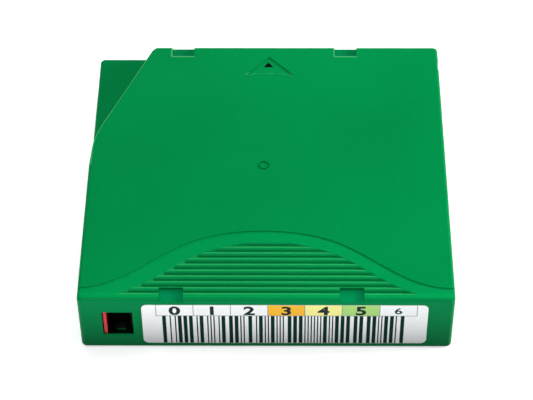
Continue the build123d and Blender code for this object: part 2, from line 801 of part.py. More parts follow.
# Access door and its return spring
with BuildPart() as access_door:
    door_front_y = opening_front_y - slide_gap
    box_between((door_inner_x, door_back_y, door_bottom), (door_outer_x, door_front_y, door_top))
    nub_low = (door_outer_x, door_front_y - door_nub_length, parting_height - door_nub_height / 2)
    nub_high = (door_outer_x + door_nub_reach, door_front_y, parting_height + door_nub_height / 2)
    box_between(nub_low, nub_high)
    box_between((door_inner_x, door_back_y - door_tail_length, parting_height - door_tail_height / 2),
                (door_outer_x, door_back_y, parting_height + door_tail_height / 2))
access_door.part.label = "access_door"
export_step(access_door.part, "parts/access_door.step")

with BuildPart() as door_spring:
    coil((door_spring_x, spring_stop_y + door_spring_wire_radius, parting_height), (0, 1, 0),
         door_spring_length - 2 * door_spring_wire_radius, door_spring_radius, door_spring_wire_radius,
         door_spring_turns)
door_spring.part.label = "door_spring"
export_step(door_spring.part, "parts/door_spring.step")

# Leader: its pin, the end of the tape, the clip that holds it and the wire that holds the pin
with BuildPart() as leader_pin:
    with BuildSketch(Plane(origin=(pin_x, pin_y, 0), x_dir=(1, 0, 0), z_dir=(0, -1, 0))):
        collar_base = pin_seat_height + pin_collar_thickness
        with BuildLine():
            Polyline(
                (0, pin_bottom),
                (pin_end_radius, pin_bottom),
                (pin_end_radius, pin_bottom + pin_end_thickness),
                (pin_neck_radius, pin_bottom + pin_end_thickness),
                (pin_neck_radius, pin_bottom + pin_seat_height),
                (pin_collar_radius, pin_bottom + pin_seat_height),
                (pin_collar_radius, pin_bottom + collar_base),
                (pin_radius, pin_bottom + collar_base),
                (pin_radius, pin_top - collar_base),
                (pin_collar_radius, pin_top - collar_base),
                (pin_collar_radius, pin_top - pin_seat_height),
                (pin_neck_radius, pin_top - pin_seat_height),
                (pin_neck_radius, pin_top - pin_end_thickness),
                (pin_end_radius, pin_top - pin_end_thickness),
                (pin_end_radius, pin_top),
                (0, pin_top),
                close=True,
            )
        make_face()
    revolve(axis=Axis((pin_x, pin_y, 0), (0, 0, 1)))
leader_pin.part.label = "leader_pin"
export_step(leader_pin.part, "parts/leader_pin.step")

pin_distance = math.hypot(pin_x - reel_x, pin_y)
pin_direction = math.atan2(pin_y, pin_x - reel_x)
leave_angle = math.degrees(pin_direction - math.acos((lap_radius - wrap_radius) / pin_distance))
with BuildPart() as leader_tape:
    with BuildSketch(Plane.XY.offset(tape_bottom)):
        with BuildLine():
            ends = []
            for side in (0, tape_thickness):
                lap = CenterArc((reel_x, 0), lap_radius + side, leave_angle - tape_lap_angle, tape_lap_angle)
                wrap = CenterArc((pin_x, pin_y), wrap_radius + side, leave_angle, tape_wrap_angle)
                Line(lap @ 1, wrap @ 0)
                ends.append((lap @ 0, wrap @ 1))
            for inner_end, outer_end in zip(*ends):
                Line(inner_end, outer_end)
        make_face()
    extrude(amount=tape_width)
leader_tape.part.label = "leader_tape"
export_step(leader_tape.part, "parts/leader_tape.step")

with BuildPart() as leader_clip:
    with BuildSketch(Plane.XY.offset(tape_bottom + clip_end_gap)):
        with BuildLine():
            start_angle = leave_angle + clip_turn_angle
            span = 360 - clip_mouth_angle
            inner_arc = CenterArc((pin_x, pin_y), clip_radius, start_angle, span)
            outer_arc = CenterArc((pin_x, pin_y), clip_radius + clip_wall, start_angle, span)
            Line(inner_arc @ 0, outer_arc @ 0)
            Line(inner_arc @ 1, outer_arc @ 1)
        make_face()
    extrude(amount=tape_width - 2 * clip_end_gap)
leader_clip.part.label = "leader_clip"
export_step(leader_clip.part, "parts/leader_clip.step")

with BuildPart() as leader_pin_spring:
    with BuildLine() as spring_wire:
        low_z = pin_bottom + pin_end_thickness / 2
        high_z = pin_top - pin_end_thickness / 2
        bend_x = pin_x + pin_spring_reach
        hook = (bend_x + pin_spring_hook[0], spring_wire_y + pin_spring_hook[1])
        FilletPolyline(
            (*hook, low_z),
            (bend_x, spring_wire_y, low_z),
            (spring_wire_x, spring_wire_y, low_z),
            (spring_wire_x, spring_wire_y, high_z),
            (bend_x, spring_wire_y, high_z),
            (*hook, high_z),
            radius=pin_spring_bend,
        )
    with BuildSketch(Plane(origin=spring_wire.line @ 0, z_dir=spring_wire.line % 0)):
        Circle(pin_spring_wire_radius)
    sweep(path=spring_wire.line)
leader_pin_spring.part.label = "leader_pin_spring"
export_step(leader_pin_spring.part, "parts/leader_pin_spring.step")

# Reel
drive_tooth = face_tooth(drive_ring_inner_radius, drive_ring_outer_radius, drive_root,
                         drive_root - drive_tooth_height, drive_teeth)
reel_brake_tooth = face_tooth(brake_ring_inner_radius, brake_ring_outer_radius, web_top,
                              web_top + brake_tooth_height, brake_teeth)
button_tooth = face_tooth(brake_ring_inner_radius, brake_ring_outer_radius, brake_root,
                          brake_root - brake_tooth_height, brake_teeth)
hub_inner_radius = hub_radius - hub_wall
with BuildPart() as reel_hub:
    with BuildSketch(reel_section):
        with BuildLine():
            Polyline(
                (release_stem_radius + loose_gap, web_bottom),
                (drive_ring_inner_radius, web_bottom),
                (drive_ring_inner_radius, drive_root),
                (drive_ring_outer_radius, drive_root),
                (drive_ring_outer_radius, flange_bottom),
                (flange_radius, flange_bottom),
                (flange_radius, flange_top),
                (hub_radius, flange_top),
                (hub_radius, upper_flange_bottom),
                (hub_inner_radius, upper_flange_bottom),
                (hub_inner_radius, web_top),
                (release_stem_radius + loose_gap, web_top),
                close=True,
            )
        make_face()
    revolve(axis=reel_axis)
    with Locations((reel_x, 0)):
        with PolarLocations(0, drive_teeth):
            add(drive_tooth)
        with PolarLocations(0, brake_teeth):
            add(reel_brake_tooth)
    with BuildSketch(Plane.XY.offset(web_bottom)):
        with Locations((reel_x, 0)):
            with PolarLocations(release_leg_circle, release_arms):
                Circle(release_leg_radius + leg_hole_gap)
    extrude(amount=hub_web_thickness, mode=Mode.SUBTRACT)
reel_hub.part.label = "reel_hub"
export_step(reel_hub.part, "parts/reel_hub.step")

lip_outer_radius = hub_inner_radius - slide_gap
with BuildPart() as reel_upper_flange:
    with BuildSketch(reel_section):
        with BuildLine():
            Polyline(
                (lip_outer_radius - flange_lip_width, upper_flange_top),
                (lip_outer_radius - flange_lip_width, upper_flange_bottom - flange_lip_height),
                (lip_outer_radius, upper_flange_bottom - flange_lip_height),
                (lip_outer_radius, upper_flange_bottom),
                (flange_radius, upper_flange_bottom),
                (flange_radius, upper_flange_top),
                close=True,
            )
        make_face()
    revolve(axis=reel_axis)
reel_upper_flange.part.label = "reel_upper_flange"
export_step(reel_upper_flange.part, "parts/reel_upper_flange.step")

with BuildPart() as reel_drive_plate:
    with BuildSketch(Plane.XY.offset(web_bottom - drive_plate_thickness)):
        with Locations((reel_x, 0)):
            Circle(drive_plate_outer_radius)
            Circle(drive_plate_inner_radius, mode=Mode.SUBTRACT)
            with PolarLocations(release_leg_circle, release_arms):
                Circle(release_leg_radius + leg_hole_gap, mode=Mode.SUBTRACT)
    extrude(amount=drive_plate_thickness)
reel_drive_plate.part.label = "reel_drive_plate"
export_step(reel_drive_plate.part, "parts/reel_drive_plate.step")

with BuildPart() as tape_pack:
    with BuildSketch(Plane.XY.offset(tape_bottom)):
        with Locations((reel_x, 0)):
            Circle(pack_radius)
            Circle(hub_radius, mode=Mode.SUBTRACT)
    extrude(amount=tape_width)
tape_pack.part.label = "tape_pack"
export_step(tape_pack.part, "parts/tape_pack.step")

# Reel brake: the toothed button, its spring and the plate that a drive lifts it with
with BuildPart() as brake_button:
    with BuildSketch(reel_section):
        with BuildLine():
            Polyline(
                (0, release_plate_top + slide_gap),
                (brake_nub_radius, release_plate_top + slide_gap),
                (brake_nub_radius, brake_disc_bottom),
                (brake_ring_inner_radius, brake_disc_bottom),
                (brake_ring_inner_radius, brake_root),
                (brake_ring_outer_radius, brake_root),
                (brake_ring_outer_radius, brake_disc_top),
                (brake_sleeve_radius, brake_disc_top),
                (brake_sleeve_radius, brake_sleeve_top),
                (0, brake_sleeve_top),
                close=True,
            )
        make_face()
    revolve(axis=reel_axis)
    with BuildSketch(Plane.XY.offset(brake_disc_top)):
        with Locations((reel_x, 0)):
            length = brake_post_length + 2 * brake_post_gap
            thickness = brake_post_thickness + 2 * brake_post_gap
            Rectangle(length, thickness)
            Rectangle(thickness, length)
    extrude(amount=brake_sleeve_height, mode=Mode.SUBTRACT)
    with Locations((reel_x, 0)):
        with PolarLocations(0, brake_teeth, start_angle=180 / brake_teeth):
            add(button_tooth)
brake_button.part.label = "brake_button"
export_step(brake_button.part, "parts/brake_button.step")

with BuildPart() as brake_spring:
    brake_spring_room = ceiling - brake_disc_top - 2 * brake_spring_wire_radius
    coil((reel_x, 0, brake_disc_top + brake_spring_wire_radius), (0, 0, 1), brake_spring_room,
         brake_spring_radius, brake_spring_wire_radius, brake_spring_turns)
brake_spring.part.label = "brake_spring"
export_step(brake_spring.part, "parts/brake_spring.step")

with BuildPart() as release_plate:
    with BuildSketch(Plane.XY.offset(release_plate_bottom)):
        with Locations((reel_x, 0)):
            Circle(release_stem_radius)
            with PolarLocations(release_arm_reach / 2, release_arms):
                Rectangle(release_arm_reach, release_arm_width)
    extrude(amount=release_plate_thickness)
    round_posts(((reel_x, 0),), release_stem_radius, release_stem_bottom, release_plate_bottom)
    with BuildSketch(Plane.XY.offset(release_leg_bottom)):
        with Locations((reel_x, 0)):
            with PolarLocations(release_leg_circle, release_arms):
                Circle(release_leg_radius)
    extrude(amount=release_plate_bottom - release_leg_bottom)
release_plate.part.label = "release_plate"
export_step(release_plate.part, "parts/release_plate.step")

# Memory: a small board across the corner by the label face, with its chip
with BuildPart() as memory_board:
    with BuildSketch(memory_plane.offset(memory_bottom)):
        Rectangle(memory_length, memory_thickness)
    extrude(amount=memory_height)
memory_board.part.label = "memory_board"
export_step(memory_board.part, "parts/memory_board.step")

with BuildPart() as memory_chip:
    with BuildSketch(memory_plane.offset(chip_height - chip_size / 2)):
        with Locations((0, (memory_thickness + chip_thickness) / 2)):
            Rectangle(chip_size, chip_thickness)
    extrude(amount=chip_size)
memory_chip.part.label = "memory_chip"
export_step(memory_chip.part, "parts/memory_chip.step")
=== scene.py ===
import math
import random

import bmesh
import bpy
from mathutils import Matrix, Vector


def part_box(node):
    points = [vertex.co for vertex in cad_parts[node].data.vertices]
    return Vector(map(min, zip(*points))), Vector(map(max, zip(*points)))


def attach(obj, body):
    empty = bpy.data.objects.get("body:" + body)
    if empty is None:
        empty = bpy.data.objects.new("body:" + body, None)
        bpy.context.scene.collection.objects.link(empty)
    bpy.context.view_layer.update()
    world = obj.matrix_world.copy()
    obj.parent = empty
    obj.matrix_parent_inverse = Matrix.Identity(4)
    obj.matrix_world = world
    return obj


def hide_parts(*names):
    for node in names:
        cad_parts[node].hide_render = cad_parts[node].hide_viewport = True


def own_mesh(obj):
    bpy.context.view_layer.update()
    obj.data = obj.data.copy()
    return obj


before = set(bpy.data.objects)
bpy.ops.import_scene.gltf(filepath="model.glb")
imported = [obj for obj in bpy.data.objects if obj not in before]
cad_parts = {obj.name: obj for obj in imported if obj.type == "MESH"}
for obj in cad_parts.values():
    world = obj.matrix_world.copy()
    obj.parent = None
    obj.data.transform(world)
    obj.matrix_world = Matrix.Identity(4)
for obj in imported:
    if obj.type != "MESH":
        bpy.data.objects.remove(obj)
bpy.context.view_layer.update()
scene = bpy.context.scene
MM = 0.001

# Places read from the frame
case_low, case_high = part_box("top_shell")
label_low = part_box("cartridge_label")[0]
plate_low, plate_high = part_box("reel_drive_plate")
reel_x = (plate_low.x + plate_high.x) / 2


# Shader nodes

def add_node(tree, kind, **settings):
    """Adds a shader node to a tree, with settings such as its operation."""
    node = tree.nodes.new("ShaderNode" + kind)
    for name, value in settings.items():
        setattr(node, name, value)
    return node


def feed(tree, socket, value):
    """Links an output to a socket, or gives the socket a value of its own."""
    if isinstance(value, bpy.types.NodeSocket):
        tree.links.new(value, socket)
    else:
        socket.default_value = value


def calculate(tree, operation, *values):
    """Output of a Math node over outputs and numbers."""
    node = add_node(tree, "Math", operation=operation)
    for socket, value in zip(node.inputs, values):
        feed(tree, socket, value)
    return node.outputs[0]


def combine(tree, operation, values):
    """Output of an operation over the first value and each further one in turn."""
    result = values[0]
    for value in values[1:]:
        result = calculate(tree, operation, result, value)
    return result


def mix_colours(tree, share, first, second, blend="MIX"):
    """Output that goes from the first colour to the second as the share goes from 0 to 1."""
    node = add_node(tree, "Mix", data_type="RGBA", blend_type=blend)
    feed(tree, node.inputs["Factor"], share)
    feed(tree, node.inputs["A"], first)
    feed(tree, node.inputs["B"], second)
    return node.outputs["Result"]


def remap(tree, value, new_range, old_range=(0, 1)):
    """Output that stretches a value's old range to a new one and stops at its ends."""
    node = add_node(tree, "MapRange")
    feed(tree, node.inputs["Value"], value)
    names = ("From Min", "From Max", "To Min", "To Max")
    for name, limit in zip(names, old_range + new_range):
        node.inputs[name].default_value = limit
    return node.outputs["Result"]


def separate(tree, vector):
    """Outputs X, Y and Z of a vector."""
    node = add_node(tree, "SeparateXYZ")
    tree.links.new(vector, node.inputs[0])
    return node.outputs


def own_place(tree):
    """Output with a point's place in its piece's own coordinates."""
    return add_node(tree, "TexCoord").outputs["Object"]


def map_place(tree, scale, step=(0, 0, 0)):
    """Output with a point's own place, scaled along each axis and then moved by a step."""
    node = add_node(tree, "Mapping")
    tree.links.new(own_place(tree), node.inputs["Vector"])
    node.inputs["Scale"].default_value = scale
    node.inputs["Location"].default_value = step
    return node.outputs["Vector"]


def noise(tree, place, scale, detail=2, roughness=0.5):
    """Output of soft noise from 0 to 1 over places."""
    node = add_node(tree, "TexNoise")
    feed(tree, node.inputs["Vector"], place)
    feed(tree, node.inputs["Scale"], scale)
    node.inputs["Detail"].default_value = detail
    node.inputs["Roughness"].default_value = roughness
    return node.outputs["Fac"]


def add_bump(tree, shader, height, depth):
    """Raises a shader's surface by a height map, to a depth in metres."""
    bump = add_node(tree, "Bump")
    bump.inputs["Distance"].default_value = depth
    tree.links.new(height, bump.inputs["Height"])
    tree.links.new(bump.outputs["Normal"], shader.inputs["Normal"])


def mottle(tree, shader, pattern, colour, low, high=1.0):
    """Colours a shader from a low to a high share of one colour over a pattern."""
    shades = [[share * level for level in colour[:3]] + [1] for share in (low, high)]
    tree.links.new(mix_colours(tree, pattern, *shades), shader.inputs["Base Color"])


def seen_by(tree, *kinds):
    """Output that is 1 for rays of the given kinds and 0 for the others."""
    path = add_node(tree, "LightPath")
    return combine(tree, "MAXIMUM", [path.outputs[kind] for kind in kinds])


def new_material(name):
    """Material with its node tree and main shader."""
    material = bpy.data.materials.new(name)
    material.use_nodes = True
    tree = material.node_tree
    return material, tree, tree.nodes["Principled BSDF"]


def new_group(name, inputs, outputs):
    """Empty shader node group with its sockets, and its input and output nodes."""
    group = bpy.data.node_groups.new(name, "ShaderNodeTree")
    for title, kind, value in inputs:
        socket = group.interface.new_socket(name=title, in_out="INPUT", socket_type=kind)
        if value is not None:
            socket.default_value = value
    for title, kind in outputs:
        group.interface.new_socket(name=title, in_out="OUTPUT", socket_type=kind)
    return group, group.nodes.new("NodeGroupInput"), group.nodes.new("NodeGroupOutput")


# Objects

def make_object(name, shape, material):
    """Object with the mesh of a finished bmesh and one material."""
    mesh = bpy.data.meshes.new(name)
    shape.to_mesh(mesh)
    shape.free()
    mesh.materials.append(material)
    made = bpy.data.objects.new(name, mesh)
    scene.collection.objects.link(made)
    return made


def finish_piece(name, shape, material, body):
    """Piece from a finished bmesh, riding on its body."""
    piece = make_object(name, shape, material)
    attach(piece, body)
    return piece


# Camera, light and floor

def set_camera():
    """Camera at the photograph's viewing angle: high in front of the label face."""
    pitch = math.radians(47.763)
    yaw = math.radians(0.841)
    roll = math.radians(-0.541)
    aside, above, distance = -0.298 * MM, 4.329 * MM, 593.524 * MM
    nearest, furthest = 0.01, 20
    turn = Matrix.Rotation(yaw, 4, "Z") @ Matrix.Rotation(math.pi / 2 - pitch, 4, "X")
    data = bpy.data.cameras.new("camera")
    data.sensor_width = 36
    data.lens = 132.39
    data.clip_start, data.clip_end = nearest, furthest
    camera = bpy.data.objects.new("camera", data)
    scene.collection.objects.link(camera)
    place = turn @ Vector((aside, above, distance))
    camera.matrix_world = Matrix.Translation(place) @ turn @ Matrix.Rotation(roll, 4, "Z")
    scene.camera = camera


def add_lamp(name, place, target, size, watts, colour, hidden):
    """Soft rectangular lamp that points at a target."""
    data = bpy.data.lights.new(name, "AREA")
    data.shape = "RECTANGLE"
    data.size, data.size_y = size
    data.energy = watts
    data.color = colour
    lamp = bpy.data.objects.new(name, data)
    scene.collection.objects.link(lamp)
    lamp.location = place
    lamp.rotation_euler = (Vector(target) - Vector(place)).to_track_quat("-Z", "Y").to_euler()
    if hidden:
        lamp.visible_camera = False
        lamp.visible_glossy = False


def add_lamps():
    """Soft lamps overhead, low on the right, low behind and high in front, and a card low in front."""
    middle = (0, 0, 0.01)
    above_card = (-0.09, -0.18, 1)
    # Name, place, target, size, watts, colour, and whether it is hidden from sight and reflections
    lamps = (
        ("overhead", (0.3, 0.0, 1.2), middle, (0.7, 0.7), 4.0, (1, 1, 0.97), False),
        ("right", (0.62, 0.1, 0.22), middle, (0.25, 0.16), 5.0, (1, 1, 0.96), True),
        ("behind", (-0.38, 0.9, 0.36), middle, (0.8, 0.25), 6.0, (1, 1, 1), True),
        ("front_high", (-0.3, -0.6, 1.1), middle, (0.6, 0.5), 5.2, (0.98, 0.99, 1), False),
        ("front_card", (-0.09, -0.18, 0.001), above_card, (0.36, 0.2), 0.8, (0.95, 0.98, 1), True),
    )
    for lamp in lamps:
        add_lamp(*lamp)


def set_world():
    """World that lights dimly and looks white, and whose reflection is white low down and grey above."""
    dim = (0.19, 0.2, 0.22, 1)
    white = (1, 1, 1, 1)
    world = bpy.data.worlds.new("studio")
    scene.world = world
    world.use_nodes = True
    tree = world.node_tree
    height = separate(tree, add_node(tree, "TexCoord").outputs["Generated"])["Z"]
    reflection = remap(tree, height, new_range=(1.0, 0.15), old_range=(0.3, 0.6))
    lit = mix_colours(tree, seen_by(tree, "Is Glossy Ray"), dim, reflection)
    shown = mix_colours(tree, seen_by(tree, "Is Camera Ray", "Is Transmission Ray"), lit, white)
    tree.links.new(shown, tree.nodes["Background"].inputs["Color"])


def grey(level):
    """Grey of a linear level."""
    return level, level, level, 1


def add_floor():
    """Plain white floor just under the cartridge, which throws back less light than it shows."""
    size = 6.0
    gap = 0.02 * MM
    material, tree, shader = new_material("floor")
    seen = seen_by(tree, "Is Camera Ray", "Is Glossy Ray", "Is Transmission Ray")
    tree.links.new(mix_colours(tree, seen, grey(0.25), grey(0.85)), shader.inputs["Base Color"])
    tree.links.new(mix_colours(tree, seen, grey(0), grey(0.45)), shader.inputs["Emission Color"])
    shader.inputs["Roughness"].default_value = 0.9
    shader.inputs["Specular IOR Level"].default_value = 0.0
    shader.inputs["Emission Strength"].default_value = 1.0
    shape = bmesh.new()
    bmesh.ops.create_grid(shape, x_segments=1, y_segments=1, size=size)
    bmesh.ops.translate(shape, verts=shape.verts, vec=(0, 0, -gap))
    make_object("floor", shape, material)


# Finishes

def linear(red, green, blue):
    """Linear colour from the 0 to 255 levels that a screen shows."""
    def channel(level):
        share = level / 255
        return share / 12.92 if share <= 0.04045 else ((share + 0.055) / 1.055) ** 2.4
    return channel(red), channel(green), channel(blue), 1.0


def make_moulded_grain():
    """Group: the fine eroded grain of a moulded surface, with faint cloudy shade."""
    inputs = (
        ("Size", "NodeSocketFloat", 0.3),
        ("Cloud", "NodeSocketFloat", 18.0),
        ("Colour", "NodeSocketColor", None),
        ("Shade", "NodeSocketFloat", 0.05),
    )
    outputs = (
        ("Colour", "NodeSocketColor"),
        ("Height", "NodeSocketFloat"),
        ("Roughness", "NodeSocketFloat"),
    )
    tree, given, result = new_group("moulded_grain", inputs, outputs)
    place = own_place(tree)
    # The grain's size is in millimetres, and a noise's scale is in grains per metre
    scale = calculate(tree, "DIVIDE", 1000, given.outputs["Size"])
    grain = noise(tree, place, scale, detail=3, roughness=0.65)
    pores = add_node(tree, "TexVoronoi")
    tree.links.new(place, pores.inputs["Vector"])
    tree.links.new(scale, pores.inputs["Scale"])
    pore_share = 0.4
    height = calculate(tree, "MULTIPLY_ADD", pores.outputs["Distance"], pore_share, grain)
    cloud = noise(tree, place, given.outputs["Cloud"])
    unevenness = calculate(tree, "SUBTRACT", calculate(tree, "ADD", cloud, grain), 1.0)
    brightness = calculate(tree, "MULTIPLY_ADD", unevenness, given.outputs["Shade"], 1.0)
    colour = add_node(tree, "VectorMath", operation="SCALE")
    tree.links.new(given.outputs["Colour"], colour.inputs[0])
    tree.links.new(brightness, colour.inputs["Scale"])
    tree.links.new(colour.outputs[0], result.inputs["Colour"])
    tree.links.new(height, result.inputs["Height"])
    tree.links.new(remap(tree, grain, new_range=(0.26, 0.44)), result.inputs["Roughness"])
    return tree


def within(tree, measures, limits):
    """Mask that is 1 where each named measure lies between its two limits."""
    tests = [
        calculate(tree, "COMPARE", measures[name], (low + high) / 2, (high - low) / 2)
        for name, low, high in limits
    ]
    return combine(tree, "MULTIPLY", tests)


def make_zones(name, zones):
    """Group: paints light and shade on a colour, blending it with a value of its own inside each of a
    piece's zones.
    """
    inputs = [("Colour", "NodeSocketColor", None)]
    outputs = [("Colour", "NodeSocketColor")]
    tree, given, result = new_group(name, inputs, outputs)
    coordinates = add_node(tree, "TexCoord")
    place = separate(tree, coordinates.outputs["Object"])
    facing = separate(tree, coordinates.outputs["Normal"])
    measures = {axis: place[axis] for axis in "XYZ"}
    measures |= {"facing " + axis: facing[axis] for axis in "XYZ"}
    colour = given.outputs["Colour"]
    for limits, blend, value in zones:
        colour = mix_colours(tree, within(tree, measures, limits), colour, (*value, 1), blend)
    tree.links.new(colour, result.inputs["Colour"])
    return tree


def shell_zones():
    """Zones of painted light, shade and highlights on the two shells, measured from the case's box:
    limits, blend and value.
    """
    face, leading, top = case_low.y, case_high.y, case_high.z
    wall = 1.7 * MM
    side_edge = 0.8 * MM
    notch_middles = (-26.5 * MM, 24.0 * MM)
    between_sides = ("X", case_low.x + side_edge, case_high.x - side_edge)
    left_corner = ("X", case_low.x, -30 * MM)
    ribs_length = ("Y", face + 1.2 * MM, face + 24 * MM)
    grip_level = ("Z", top - 0.31 * MM, top - 0.15 * MM)
    notch_level = ("Z", top - 1.25 * MM, top - 1.1 * MM)
    # Painted shade: the case's inside is made nearly black, where light hardly reaches
    inside = (
        ("X", case_low.x + wall, case_high.x - wall),
        ("Y", face + 0.4 * MM, -20 * MM),
        ("Z", wall, top - wall),
    )
    # Painted light: the grip floor and the strip near the label face are made brighter
    grip_floor = (between_sides, ("Y", face + 1.0 * MM, face + 27 * MM), grip_level)
    near_strip = (between_sides, ("Y", face + 0.8 * MM, face + 2.6 * MM), grip_level)
    # Painted light: the near notches' floors get a bluer cast
    notch_floors = (
        ("X", -40 * MM, 40 * MM),
        ("Y", face + 0.15 * MM, face + 4.7 * MM),
        notch_level,
    )
    # Painted shade: the shell's front face, where the label sits, is made darker
    label_face = (("Y", face - 0.1 * MM, face + 0.3 * MM),)
    # Painted shadow: the lowered platform at the left corner is made darker, as if shaded by the guide
    # wall
    platform = (left_corner, ("Y", 0, leading), ("Z", top - 5.5 * MM, top - 5.1 * MM))
    # Painted shade: the floors of the notches at the leading end are made darker
    leading_notch_floors = (
        ("X", -31 * MM, 29 * MM),
        ("Y", leading - 4.3 * MM, leading),
        notch_level,
    )
    # Painted highlights on the far sides of the grip ribs
    rib_far_sides = (
        ("X", -46.5 * MM, 46.5 * MM),
        ribs_length,
        ("Z", top - 0.5 * MM, top - 0.26 * MM),
        ("facing Y", 0.1, 1),
    )
    # Painted highlights on the left ends of the grooves
    groove_left_ends = (
        ("X", -46.5 * MM, 0),
        ribs_length,
        ("Z", top - 0.85 * MM, top - 0.26 * MM),
        ("facing X", 0.3, 1),
    )
    # Painted highlight along the diagonal edge at the left corner
    diagonal_edge = (
        left_corner,
        ("Y", 0.5 * MM, leading),
        ("Z", top - 0.55 * MM, top - 0.02 * MM),
    )
    # Painted highlight along the arrow's base
    arrow_base = (
        ("X", -8 * MM, 8.5 * MM),
        ("Y", 37.8 * MM, 39.7 * MM),
        ("Z", top - 0.28 * MM, top - 0.005 * MM),
    )
    # A multiplied zone paints shade, or a brighter or bluer light, on a surface, and an added one paints
    # a highlight on an edge
    zones = [
        (inside, "MULTIPLY", (0.02, 0.02, 0.02)),
        (grip_floor, "MULTIPLY", (1, 1.15, 1.2)),
        (near_strip, "MULTIPLY", (1, 1.1, 1.05)),
        (notch_floors, "MULTIPLY", (1, 1.02, 1.35)),
        (label_face, "MULTIPLY", (1, 0.86, 0.98)),
        (platform, "MULTIPLY", (1, 0.88, 0.9)),
        (leading_notch_floors, "MULTIPLY", (1, 0.85, 1.05)),
        (rib_far_sides, "ADD", (0.02, 0.07, 0.025)),
        (groove_left_ends, "ADD", (0.005, 0.045, 0.015)),
        (diagonal_edge, "ADD", (0.03, 0.15, 0.045)),
        (arrow_base, "ADD", (0.07, 0.16, 0.08)),
    ]
    for middle in notch_middles:
        # Painted highlights on the near edge and left wall of each notch at the leading end
        near_edge = (
            ("X", middle - 3.5 * MM, middle + 3.5 * MM),
            ("Y", leading - 4.75 * MM, leading - 4.15 * MM),
            ("Z", top - 0.25 * MM, top + 0.01 * MM),
        )
        left_wall = (
            ("X", middle - 3.75 * MM, middle - 3.3 * MM),
            ("Y", leading - 4.4 * MM, leading),
            ("Z", top - 1.1 * MM, top + 0.01 * MM),
        )
        zones += [(zone, "ADD", (0.06, 0.14, 0.08)) for zone in (near_edge, left_wall)]
    return zones


def tab_zones():
    """Painted shade on the tab's body behind its rib, where light hardly reaches."""
    behind_rib = (("Y", case_low.y + 1.6 * MM, -30 * MM),)
    return [(behind_rib, "MULTIPLY", (0.25, 0.25, 0.25))]


moulded_grain = make_moulded_grain()


def plastic(name, colour, grain_size, grain_depth, shade=0.05, specular=0.5, zones=None):
    """Moulded plastic with a fine grain, its size and depth in millimetres, with painted light and shade
    in any zones given.
    """
    material, tree, shader = new_material(name)
    grain = add_node(tree, "Group", node_tree=moulded_grain)
    grain.inputs["Size"].default_value = grain_size
    grain.inputs["Colour"].default_value = colour
    grain.inputs["Shade"].default_value = shade
    tone_and_painted_light = grain.outputs["Colour"]
    if zones:
        painted_light_node = add_node(tree, "Group", node_tree=zones)
        tree.links.new(tone_and_painted_light, painted_light_node.inputs["Colour"])
        tone_and_painted_light = painted_light_node.outputs["Colour"]
    tree.links.new(tone_and_painted_light, shader.inputs["Base Color"])
    tree.links.new(grain.outputs["Roughness"], shader.inputs["Roughness"])
    add_bump(tree, shader, grain.outputs["Height"], grain_depth * MM)
    shader.inputs["Specular IOR Level"].default_value = specular
    return material


def printed(name, colour):
    """Flat coat of ink, very slightly uneven."""
    material, tree, shader = new_material(name)
    mottle(tree, shader, noise(tree, own_place(tree), scale=900), colour, low=0.94)
    shader.inputs["Roughness"].default_value = 0.5
    shader.inputs["Specular IOR Level"].default_value = 0.03
    return material


def brushed_metal(name, colour, roughness, stretch=(1, 1, 40)):
    """Metal with fine drawn lines."""
    material, tree, shader = new_material(name)
    lines = noise(tree, map_place(tree, stretch), scale=120, detail=4)
    uneven = remap(tree, lines, new_range=(roughness * 0.75, roughness * 1.25))
    tree.links.new(uneven, shader.inputs["Roughness"])
    mottle(tree, shader, lines, colour, low=0.85)
    shader.inputs["Metallic"].default_value = 1.0
    return material


def paper(name, colour):
    """Coated paper label."""
    material, tree, shader = new_material(name)
    fibre = noise(tree, own_place(tree), scale=2500, detail=4)
    add_bump(tree, shader, fibre, depth=0.004 * MM)
    mottle(tree, shader, fibre, colour, low=0.96)
    shader.inputs["Roughness"].default_value = 0.42
    return material


def wound_film(name, colour):
    """Film in thin turns round the reel's axis."""
    material, tree, shader = new_material(name)
    radius = add_node(tree, "VectorMath", operation="LENGTH")
    tree.links.new(map_place(tree, scale=(1, 1, 0), step=(-reel_x, 0, 0)), radius.inputs[0])
    turns = add_node(tree, "TexNoise", noise_dimensions="1D")
    tree.links.new(radius.outputs["Value"], turns.inputs["W"])
    turns.inputs["Scale"].default_value = 2500
    turns.inputs["Detail"].default_value = 3
    add_bump(tree, shader, turns.outputs["Fac"], depth=0.05 * MM)
    mottle(tree, shader, turns.outputs["Fac"], colour, low=0.6, high=1.5)
    shader.inputs["Roughness"].default_value = 0.25
    return material


def wear(node, material):
    """Gives a CAD node its finish."""
    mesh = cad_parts[node].data
    mesh.materials.clear()
    mesh.materials.append(material)


# Print on the label and in the arrow. The cells' places were measured on the photograph

ink = 0.02 * MM
rule = 0.2 * MM
cell_bottom = 14.14 * MM
cell_top = 18.75 * MM
cell_edges = [x * MM for x in (-30.82, -20.35, -9.92, 0.5, 10.85, 21.27, 31.81, 42.24)]
cell_finishes = ("white", "white", "white", "orange", "yellow", "leaf", "white")


def add_plate(shape, corners, step):
    """Adds a thin flat solid: a face on the given corners, pulled out by a step."""
    face = shape.faces.new([shape.verts.new(corner) for corner in corners])
    grown = bmesh.ops.extrude_face_region(shape, geom=[face])
    moved = [item for item in grown["geom"] if isinstance(item, bmesh.types.BMVert)]
    bmesh.ops.translate(shape, verts=moved, vec=step)


def add_field(shape, left, right, bottom, top, thickness=ink):
    """Adds a thin upright rectangle of ink on the front of the label."""
    y = label_low.y
    corners = [(left, y, bottom), (right, y, bottom), (right, y, top), (left, y, top)]
    add_plate(shape, corners, (0, -thickness, 0))


def finish_print(name, shape, material):
    """Piece from flat print on the label, with its faces turned outwards."""
    bmesh.ops.recalc_face_normals(shape, faces=shape.faces)
    finish_piece(name, shape, material, "case")


